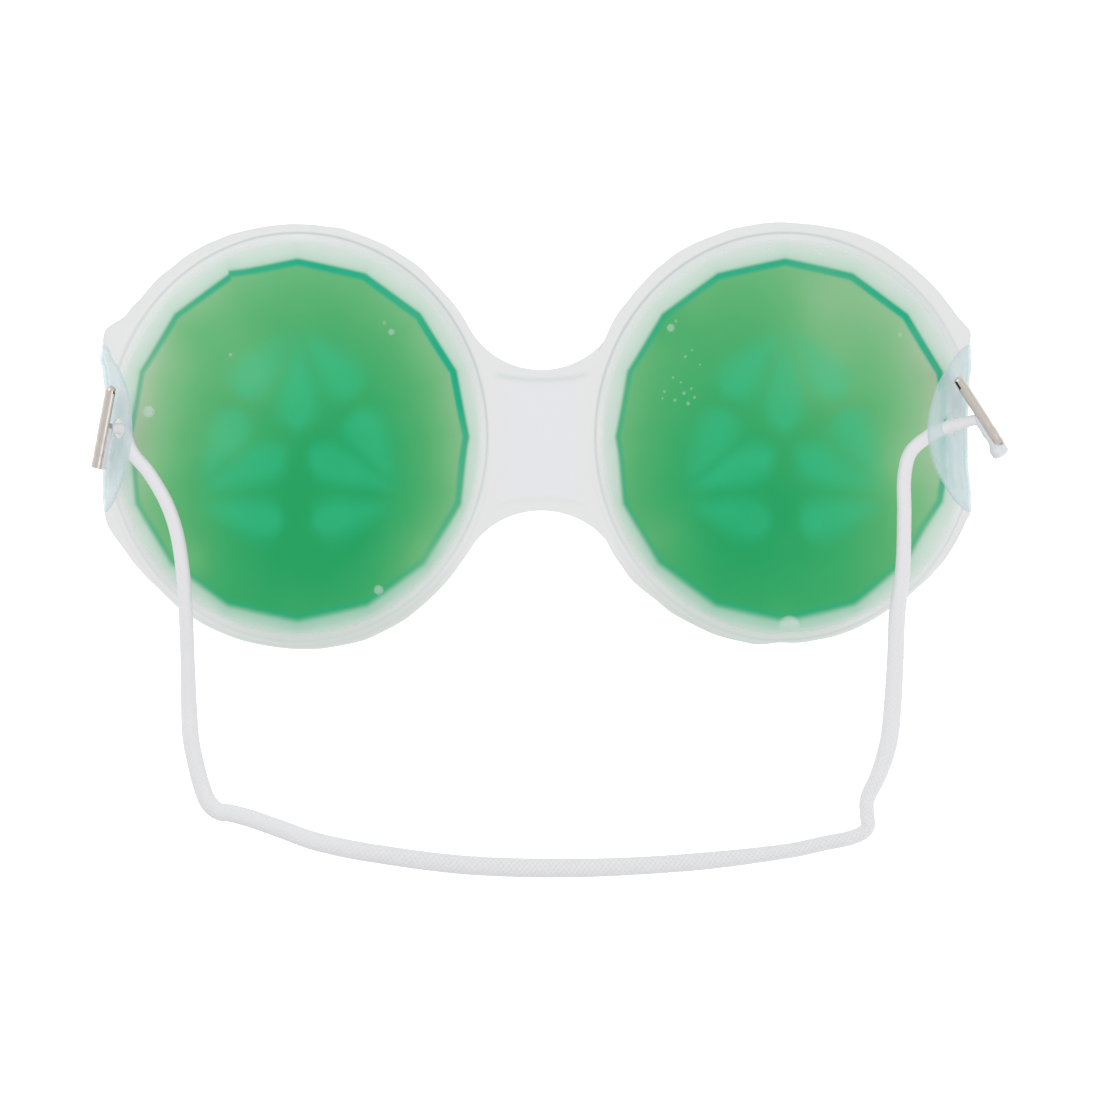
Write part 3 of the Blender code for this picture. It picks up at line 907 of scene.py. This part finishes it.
def film_disc(side, facing_up):
    """Points, masks and faces of one film over one pad, and its outer edge as (index, angle)."""
    _, tab_low, tab_top = tab_span(side)
    keys = [ATTACH_ANGLE, -ATTACH_ANGLE, tab_top, tab_low, pi]
    angles = angle_list(keys, FILM_ANGLE_STEP)
    lead = angles.index(min(angles, key=lambda a: abs(a - ATTACH_ANGLE)))
    angles = angles[lead:] + angles[:lead]
    points = [pad_point(side, 0, 0, top_z(0) if facing_up else 0)]
    masks = {"cover": [DOME_COVER], "line": [0.0], "rim": [0.0]}
    for share, step in film_rings():
        for angle in angles:
            seam, edge = seam_radius(side, angle), flange_radius(side, angle)
            radius = share * seam + step * (edge - seam)
            z = top_z(share) if facing_up else low_z(share)
            if share == 1.0:
                z += flange_bead(step, facing_up)
            point = pad_point(side, radius, angle, z)
            low_side = max(0.0, -sin(angle))
            slack = smoothstep((share - 0.85) / 0.15) * (0.4 + 0.6 * low_side)
            point.z += ripple(point * 0.55, 0.18 * MM * slack * (1 if facing_up else 0.5))
            if step > 0.3:
                waver = ripple(Vector((point.y, point.x, 0)) * 1.7, 0.25 * MM) * step
                point.x += side.sign * waver * cos(angle) * (cos(angle) < 0.8)
                point.y += waver * sin(angle)
            points.append(point)
            past = radius - seam
            mark = seam_strength(angle) * bell(past - 0.15 * MM, 0.28 * MM)
            mark += 0.35 * low_side * bell(past + 1.5 * MM, 0.35 * MM)
            mark += 0.25 * low_side * bell(past - 1.4 * MM, 0.3 * MM)
            masks["line"].append(min(mark, 1.0))
            welded = smoothstep((share - 0.95) / 0.045)
            masks["cover"].append(lerp(DOME_COVER, WELD_COVER, welded))
            away = abs(cos(angle)) < 0.8 or abs(angle) < 1.0
            masks["rim"].append(EDGE_RIM * smoothstep((step - 0.86) / 0.14) if away else 0.0)
    faces = polar_faces(len(film_rings()), len(angles))
    return points, masks, faces, list(enumerate(angles, len(points) - len(angles)))


def edge_shade(point):
    """Where the film looks greyer: just inside the seam, and at the bottom of each pad."""
    side = SIDES["left" if point.x < 0 else "right"]
    radius, seam = place_on_pad(side, point.x, point.y)
    slant = abs(2 * (point.x - side.x) * point.y) / max(radius, MM) ** 2
    inner = bell(radius - seam + 0.9 * MM, 1.1 * MM) * slant
    low = smoothstep((-point.y - 22 * MM) / (20 * MM)) * smoothstep((88 * MM - abs(point.x)) / (35 * MM))
    return max(0.85 * low, 0.6 * inner)


def web_edge_y(x, top):
    rise = NOTCH_RADIUS - sqrt(max(0.0, NOTCH_RADIUS**2 - x**2))
    return WEB_TOP_Y + rise if top else WEB_LOW_Y - rise


def web_press(x, y):
    """Strength of the pressed lines and of the panel on the bridge."""
    high_line = 12.5 * MM + 0.9 * MM * (x / (9 * MM)) ** 2
    ends = smoothstep((11.2 * MM - abs(x)) / (2.5 * MM))
    upper = bell(y - high_line, 0.45 * MM) * ends
    low_line = -13.6 * MM - 1.2 * MM * (x / (9 * MM)) ** 2
    lower = bell(y - low_line, 0.5 * MM) * ends
    panel = smoothstep((8.4 * MM - abs(x)) / (1.5 * MM))
    panel *= smoothstep((high_line - y) / MM) * smoothstep((y - low_line) / (2 * MM))
    return upper, lower, panel


def make_film(name, facing_up, material):
    """One film over both pads and across the bridge, a closed sheet."""
    points, faces, borders = [], [], {}
    masks = {"cover": [], "line": [], "rim": [], "panel": []}
    for label, side in SIDES.items():
        disc, disc_masks, disc_faces, edge = film_disc(side, facing_up)
        base = len(points)
        points += disc
        for key in masks:
            masks[key] += disc_masks.get(key, [0.0] * len(disc))
        faces += [tuple(base + i for i in face) for face in disc_faces]
        turns = sorted((angle % tau, base + i) for i, angle in edge)
        borders[label] = [i for turn, i in turns if abs(turn - pi) <= pi - ATTACH_ANGLE + 1e-5]
    rows = []
    for a, b in zip(borders["left"], borders["right"]):
        start, end = points[a], points[b]
        low, top = web_edge_y(start.x, False), web_edge_y(start.x, True)
        share = (start.y - low) / (top - low)
        row = [a]
        for column in range(1, WEB_COLUMNS):
            t = column / WEB_COLUMNS
            x = lerp(start.x, end.x, t)
            y = lerp(web_edge_y(x, False), web_edge_y(x, True), share)
            settle = smoothstep(min(t, 1 - t) / 0.16)
            upper, lower, inner = web_press(x, y)
            half = lerp(FLANGE_HALF, WEB_HALF, settle)
            half += (0.14 * upper + 0.08 * lower - 0.05 * inner) * MM
            row.append(len(points))
            points.append(Vector((x, y, FLANGE_Z + (half if facing_up else -half))))
            masks["cover"].append(WELD_COVER)
            masks["line"].append(0.32 * upper + 0.08 * lower)
            masks["panel"].append(0.75 * inner + 0.35 * upper)
            masks["rim"].append(0.0)
        rows.append(row + [b])
    for i in rows[0] + rows[-1]:
        masks["rim"][i] = EDGE_RIM
    for first, second in zip(rows, rows[1:]):
        faces += zip(first, first[1:], second[1:], second)
    outline = orient(points, faces)
    inner = []
    for x, y, z in points:
        z = max(z - FILM, FLANGE_Z + FIT) if facing_up else min(z + FILM, FLANGE_Z - FIT)
        inner.append(Vector((x, y, z)))
    masks["shade"] = [edge_shade(point) for point in points]
    return add_shell(name, points, inner, outline, material, masks)


def orient(points, faces):
    """Faces all wound the same way seen from above."""
    turned = []
    for face in faces:
        a, b, c = points[face[0]], points[face[1]], points[face[2]]
        area = (b.x - a.x) * (c.y - a.y) - (b.y - a.y) * (c.x - a.x)
        turned.append(tuple(face) if area > 0 else tuple(reversed(face)))
    return turned


# ---------- gel, print and bubbles

def teardrop(x, y, tip, turn, length, width, blur):
    """1 inside a seed, 0 outside, soft over the blur. Turn points from its tip to its round end."""
    dx, dy = x - tip[0], y - tip[1]
    along = (dx * cos(turn) + dy * sin(turn)) / length
    across = abs(-dx * sin(turn) + dy * cos(turn))
    inside = min(max(along, 0.0), 1.0)
    half = width / 2 * inside**0.9 * sqrt(1 - inside**3.5) / SEED_WIDEST
    gap = hypot(max(0.0, across - half), (along - inside) * length)
    if gap == 0.0:
        gap = across - half
    return 1 - smoothstep((gap + blur) / (2 * blur))


def seed_mask(seeds, x, y, blur):
    shown = 0.0
    for across, up, length, width, turn in seeds:
        shown = max(shown, teardrop(abs(x), y, (across * MM, up * MM), radians(turn),
                                    length * MM, width * MM, blur))
    return shown


def slice_masks(side, radius, angle, soft):
    """The print's masks at one place on a pad. Soft is 1 as seen through the gel, 0 in the ink."""
    edge = print_radius(side, angle)
    share = min(radius / edge, 1.0)
    beta = world_angle(side, angle)
    up, right, outward = sin(beta), cos(beta), cos(angle)
    low, outer = max(0.0, -up), max(0.0, outward)
    red = side.deep + (1 - exp(-2.2 * share)) * (18 * outward + 27 * up)
    red += share**3 * (76 + 40 * cos(2 * angle) - side.nose * max(0.0, -outward))
    red -= share**6 * 60 * low * outer
    depth = radius - edge
    wide = (1.38 + 0.25 * up + 0.25 * right) * MM
    blur = (0.16 + soft * (0.16 + 0.5 * low + 0.15 * max(0.0, -right))) * MM
    strength = 1 - soft * (0.21 - 0.1 * up - 0.15 * right + 0.4 * bell(beta + 0.8, 0.45))
    inner_side = smoothstep((depth + wide + blur) / (2 * blur))
    outer_side = smoothstep((depth + blur) / (2 * blur))
    halo = 0.36 + 0.08 * max(0.0, up)
    halo += 0.42 * low**1.6 * (1 - 0.7 * outer)
    halo *= exp(-max(0.0, depth) / ((3.0 + 0.8 * low) * MM))
    x, y = radius * cos(beta), radius * sin(beta)
    # Painted highlights and painted shade, only where the slice is seen through the gel.
    for across, high, size, amount in PAINTED_LIGHT_SPOTS[side.label]:
        red += soft * amount * bell(hypot(x - across * MM, y - high * MM), size * MM)
    return {
        "pale": min(max((red - 38) / 144, 0.0), 1.0) * (1 if soft else 0.55),
        "seed": seed_mask(*((SEEN_SEEDS, x, y, 2.4 * MM) if soft else (INK_SEEDS, x, y, 0.6 * MM))),
        "ring": min(max(strength * (inner_side - outer_side), 0.0), 1.0),
        "outside": outer_side,
        "halo": halo,
    }


def pad_layers(side, inner_shares, outer_steps=()):
    """(radius, angle) grid: rings follow the print's edge inside it and the seam outside it."""
    angles = angle_list(print_corners(), PAD_ANGLE_STEP)
    rings = [[(share * print_radius(side, a), a) for a in angles] for share in inner_shares]
    rings += [[(lerp(print_radius(side, a), GEL_REACH * seam_radius(side, a), step), a) for a in angles]
              for step in outer_steps]
    return rings, len(angles)


def make_layer(side, name, part, layers, upper, lower, material, soft):
    """A closed body between two height functions of the share of the seam radius."""
    rings, around = layers
    tops, bottoms, masks = [], [], {}
    for radius, angle in [(0.0, 0.0)] + [place for ring in rings for place in ring]:
        share = radius / seam_radius(side, angle)
        tops.append(pad_point(side, radius, angle, upper(share)))
        bottoms.append(pad_point(side, radius, angle, lower(share)))
        for key, value in slice_masks(side, radius, angle, soft).items():
            masks.setdefault(key, []).append(value)
    faces = orient(tops, polar_faces(len(rings), around))
    layer = add_shell(f"{side.label}_{name}", tops, bottoms, faces, material, masks)
    return settle(layer, side, "pad", part)


FINE_SHARES = [0.07, 0.13, 0.19, 0.25, 0.31, 0.37, 0.43, 0.49, 0.55, 0.61, 0.67, 0.73, 0.79, 0.84,
               0.88, 0.91, 0.935, 0.95, 0.96, 0.97, 0.98, 0.99, 1.0]
PRINT_RINGS = 50


def make_gel(side, material):
    layers = pad_layers(side, FINE_SHARES, [0.04, 0.09, 0.16, 0.26, 0.4, 0.56, 0.74, 0.9, 1.0])
    gel = make_layer(side, "gel_pad", "gel", layers, lambda s: top_z(s) - FILM - FIT,
                     lambda s: low_z(s) + FILM + GEL_ABOVE_FILM, material, 1)
    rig.padded(gel, fill=0.75)


def make_print(side, material):
    inner = [i / PRINT_RINGS for i in range(1, PRINT_RINGS) if i / PRINT_RINGS < FINE_SHARES[-7]]
    make_layer(side, "slice_print", "print", pad_layers(side, inner + FINE_SHARES[-7:]),
               lambda s: low_z(s) + FILM + INK_TOP, lambda s: low_z(s) + FILM + FIT, material, 0)


# Bubbles: (across, up, radius) in millimetres from the pad's centre.
BUBBLES = {
    "left": [(20.6, 23.0, 0.8), (19.1, 25.0, 0.45), (-14.7, 18.0, 0.45), (17.8, -33.6, 1.2),
             (-32.7, 5.5, 1.5)],
    "right": [(-25.1, 23.9, 1.0), (-24.0, 25.4, 0.4), (-3.2, 41.6, 1.5), (7.6, 41.4, 1.8),
              (13.6, 40.0, 1.3), (25.2, 22.4, 0.5), (0.9, -41.7, 2.7), (-21.9, 17.6, 0.4),
              (-20.4, 19.0, 0.3), (-24.6, 13.0, 0.35), (-26.5, 9.9, 0.4), (-26.9, 8.4, 0.3),
              (-24.2, 8.0, 0.45), (-22.2, 9.6, 0.5), (-20.6, 10.6, 0.35), (-21.3, 7.3, 0.5),
              (-19.9, 8.6, 0.4), (-22.9, 11.9, 0.3), (-18.7, 15.8, 0.3)],
}
BUBBLE_SIDES = 20
BUBBLE_RISE = 0.16
# Rings of a bubble as shares of its radius and of its rise, then its crown and its lowest point.
BUBBLE_LEVELS = [(1.0, 0.0), (0.93, 0.35), (0.75, 0.68), (0.45, 0.92), (0.0, 1.0), (0.0, -0.6)]
# Bubbles further up or down than this lie at the seam and fade towards it, in millimetres.
NEAR_SEAM = 35


def make_bubbles(side, material):
    """Flat air pockets under the face-side film, one closed dome each, in one piece."""
    verts, faces, cover, flat = [], [], [], []
    for across, up, size in BUBBLES[side.label]:
        radius = size * MM
        base = len(verts)
        x0, y0 = side.x + across * MM, up * MM
        for share, lift in BUBBLE_LEVELS:
            count = BUBBLE_SIDES if share else 1
            for i in range(count):
                turn = tau * i / BUBBLE_SIDES
                x, y = x0 + share * radius * cos(turn), y0 + share * radius * sin(turn)
                reach, seam = place_on_pad(side, x, y)
                verts.append(Vector((x, y, top_z(reach / seam) - FILM - FIT + BUBBLE_RISE * radius * lift)))
                seen = min(0.7, 0.18 + 0.2 * size) * min(1.0, 3 * (1 - share))
                if abs(up) > NEAR_SEAM:
                    out = reach - hypot(across, up) * MM
                    seen *= 1 - 0.85 * smoothstep(out / radius + 0.45)
                cover.append(seen)
                flat.append((x, y))
        faces += ring_faces(base, BUBBLE_SIDES, len(BUBBLE_LEVELS) - 2)
        crown, keel = len(verts) - 2, len(verts) - 1
        last = crown - BUBBLE_SIDES
        for i in range(BUBBLE_SIDES):
            j = (i + 1) % BUBBLE_SIDES
            faces.append((last + i, last + j, crown))
            faces.append((base + j, base + i, keel))
    bubbles = add_piece(f"{side.label}_gel_bubbles", verts, faces, material, {"cover": cover}, flat)
    let_light_by(bubbles)
    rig.ride(bubbles, f"{side.label}_pad")
    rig.slot(bubbles, "gel")


# ---------- side tabs

def tab_point(side, depth, y, height=0.0):
    """A point on the folded tab, from its fold axis: depth along it and height out of it."""
    sign, tilt = side.sign, side.tilt
    along = Vector((-sign * cos(tilt), 0, sin(tilt)))
    out = Vector((sign * sin(tilt), 0, cos(tilt)))
    bend = fold_bend(y)
    axis = Vector((side.fold.x + sign * fold_wave(side, y), y, side.fold.z - TAB_BEND + bend))
    return axis + along * depth + out * (bend + height)


def bend_point(side, share, y, height=0.0):
    """A point on the fold, from the pad's flange at share 0 to the flat of the tab at share 1."""
    turn = -pi / 2 + share * (pi - side.tilt)
    bend = fold_bend(y)
    reach = bend + height
    return Vector((side.fold.x + side.sign * (fold_wave(side, y) + reach * cos(turn)), y,
                   side.fold.z - TAB_BEND + bend + reach * sin(turn)))


def tab_sheet_point(side, depth, y, height):
    """Depths under 0 lie on the fold: -1 is its foot on the flange."""
    bulge = ripple(Vector((depth * 0.6 + 0.01, y * 0.8, 0)), 0.5 * MM) * smoothstep(depth / (4 * MM))
    if depth < 0:
        return bend_point(side, 1 + depth, y, height)
    return tab_point(side, depth, y, height + bulge)


def make_tab(side, material):
    """The tab with its punched hole and the fold that joins it to the pad."""
    middle, half = (TAB_TOP_Y + TAB_LOW_Y) / 2, (TAB_TOP_Y - TAB_LOW_Y) / 2
    straight, arc, bends = 30, 64, 12
    fold_line = [(0.0, middle + half * (2 * i / straight - 1)) for i in range(straight + 1)]
    outline = list(fold_line)
    for i in range(1, arc):
        u = cos(pi * i / arc)
        depth = TAB_START + side.tab_depth * (1 - u * u) ** TAB_ARC_POWER
        outline.append((depth, middle + half * u))
    shares = [0.0, 0.06, 0.14, 0.26, 0.4, 0.55, 0.7, 0.83, 0.92, 0.97, 1.0]
    places, rim = [], []
    for share in reversed(shares):
        for depth, y in outline:
            angle = atan2(y - side.hole_y, depth - HOLE_DEPTH)
            places.append((lerp(HOLE_DEPTH + HOLE_RADIUS * cos(angle), depth, share),
                           lerp(side.hole_y + HOLE_RADIUS * sin(angle), y, share)))
            edge = share > 0.96 and depth > 0.4 * MM
            rim.append(0.7 if edge else 0.5 * (share < 0.03))
    faces = ring_faces(0, len(outline), len(shares))
    rows = [list(range(straight + 1))]
    for step in range(1, bends + 1):
        row = []
        for _, y in fold_line:
            row.append(len(places))
            pinch = 1 - 0.02 * smoothstep(step / bends)
            places.append((-step / bends, middle + (y - middle) * pinch))
            rim.append(0.0)
        rows.append(row)
    for first, second in zip(rows, rows[1:]):
        faces += zip(first[1:], first, second, second[1:])
    outer = [tab_sheet_point(side, depth, y, TAB_THICK / 2) for depth, y in places]
    inner = [tab_sheet_point(side, depth, y, -TAB_THICK / 2) for depth, y in places]
    flat = [(depth if depth > 0 else depth * 2.4 * MM, y) for depth, y in places]
    tab = add_shell(f"{side.label}_tab_flap", outer, inner, faces, material,
                    {"rim": rim, "cover": [TAB_COVER] * len(rim)}, flat)
    let_light_by(tab)
    pad, body = f"{side.label}_pad", f"{side.label}_tab"
    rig.blend(tab, pad, body, start=(0, 0, FLANGE_Z + 0.05 * MM), end=(0, 0, side.fold.z + 0.65 * MM))
    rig.replaces(tab, body)
    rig.slot(tab, "tab")


# ---------- barbs

def barb_frame(side):
    """The barb's centre and axes: x towards the hole, z down its length."""
    centre, along = side.barb + side.shift, side.along.normalized()
    towards = tab_point(side, HOLE_DEPTH, side.hole_y) - centre
    towards = (towards - along * towards.dot(along)).normalized()
    return centre, Matrix((towards, along.cross(towards), along)).transposed()


def sleeve_slot(side, z):
    """How far round the sleeve is open and which way: a notch, a slit, then the cord's trough."""
    start, end = side.notch
    from_end = z + BARB_UP
    open_share = smoothstep((from_end - start) / NOTCH_EASE) * smoothstep((end - from_end) / NOTCH_EASE)
    trough = radians(128) * smoothstep((z + 1.3 * MM) / (1.0 * MM))
    turn = -side.sign * NOTCH_TURN * smoothstep((end + 1.2 * MM - from_end) / (0.8 * MM))
    return radians(7) + radians(70) * open_share + trough, turn


def sleeve_radius(z):
    """The rolled strip's radius: rounded at its upper end and crimped in two places below."""
    end = min((z + BARB_UP) / (1.1 * MM), 1.0)
    round_end = sqrt(max(0.0, 1 - (1 - end) ** 2))
    crimps = CRIMP_DEPTH * sum(bell(z - place, CRIMP_WIDTH) for place in CRIMPS)
    return BARB_RADIUS * (0.3 + 0.7 * round_end) * (1 - crimps)


def make_sleeve(side, material):
    centre, turn = barb_frame(side)
    rows, steps = 90, 30
    outer, inner, flat = [], [], []
    for row in range(rows + 1):
        share = row / rows
        z = -BARB_UP + (BARB_UP + side.down) * (0.35 * share**2 + 0.65 * share)
        radius = sleeve_radius(z)
        slot, slot_turn = sleeve_slot(side, z)
        for i in range(steps + 1):
            angle = slot_turn + slot / 2 + (tau - slot) * i / steps
            for ring, reach in ((outer, radius), (inner, max(radius - BARB_WALL, 0.05 * MM))):
                local = Vector((reach * cos(angle), reach * sin(angle), z))
                ring.append(centre + turn @ local)
            flat.append((angle * 1.15, z / MM))
    verts, closed = close_shell(outer, inner, ring_faces(0, steps + 1, rows + 1, closed=False))
    # Painted shade: the mask is 1 on the sleeve's inner side, which the material paints dark.
    shade = [0.0] * len(outer) + [1.0] * len(inner)
    sleeve = add_piece(f"{side.label}_barb_sleeve", verts, closed, material, {"inner": shade},
                       flat * 2, sharp=40)
    return settle(sleeve, side, "barb", "barb")


def make_core(side, material):
    """The cord's end, pressed into the sleeve's lower half and melted into a lump below it."""
    centre, turn = barb_frame(side)
    blob, down = side.blob, side.down
    last = down + 2.2 * MM * blob**2
    rows, sides = 60, 28
    start = -0.9 * MM
    verts, flat = [], []
    for row in range(rows + 1):
        share = row / rows
        z = lerp(start, last, share)
        swell = smoothstep((z - (down - 1.1 * MM)) / (1.6 * MM)) * blob
        cap = sqrt(max(0.0, 1 - max(0.0, (z - last + 1.0 * MM) / (1.0 * MM)) ** 2))
        taper = smoothstep((z - start) / MM)
        ends = (0.12 + 0.88 * cap) * (0.3 + 0.7 * taper) * MM
        deep, wide = (1.0 + 0.75 * swell) * ends, (0.85 + 1.2 * swell) * ends
        for i in range(sides):
            angle = tau * i / sides
            lump = 1 + 0.09 * noise.noise(Vector((cos(angle) * 1.3, sin(angle) * 1.3, z / MM)))
            strand = 1 + 0.05 * cos(7 * angle + 2.2 * z / MM) * (1 - swell)
            local = Vector(((1.25 - 0.2 * swell) * MM * taper + deep * lump * strand * cos(angle),
                            wide * lump * strand * sin(angle), z))
            verts.append(centre + turn @ local)
            flat.append((angle * 1.2, z / MM))
    faces = [tuple(range(sides)), tuple(range(len(verts) - sides, len(verts)))]
    faces += ring_faces(0, sides, rows + 1)
    core = add_piece(f"{side.label}_cord_core", verts, faces, material, None, flat)
    return settle(core, side, "barb", "cord_tip")


# ---------- assembly

def make_films():
    for name, facing_up, vinyl, roughness, nodes, slot in (
        ("face_film", True, "face_vinyl", 0.3,
         ("left_back_film", "right_back_film", "left_web", "right_web"), "back_film"),
        ("front_film", False, "front_vinyl", 0.22, ("left_front_film", "right_front_film"), "front_film"),
    ):
        film = make_film(name, facing_up, film_material(vinyl, roughness))
        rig.blend(film, "left_pad", "right_pad", start=(-9 * MM, 0, 0), end=(9 * MM, 0, 0))
        let_light_by(film)
        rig.replaces(film, *nodes)
        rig.slot(film, slot)


make_stage()
cord_pieces = make_cords()
make_films()
gel, ink, air = gel_material(), print_material(), bubble_material()
tab_vinyl, plate, melt = tab_material(), barb_material(), core_material()
on_cord = {}
for label, side in SIDES.items():
    make_gel(side, gel)
    make_print(side, ink)
    make_bubbles(side, air)
    make_tab(side, tab_vinyl)
    sleeve = make_sleeve(side, plate)
    on_cord[f"{label}_head_cord"] = [make_core(side, melt), sleeve]
place_cords(cord_pieces, on_cord)

with open("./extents.json", "w") as size_file:
    json.dump({"cad": [list(corner) for corner in cad_box],
               "visual": [list(corner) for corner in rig.bounds()]}, size_file)
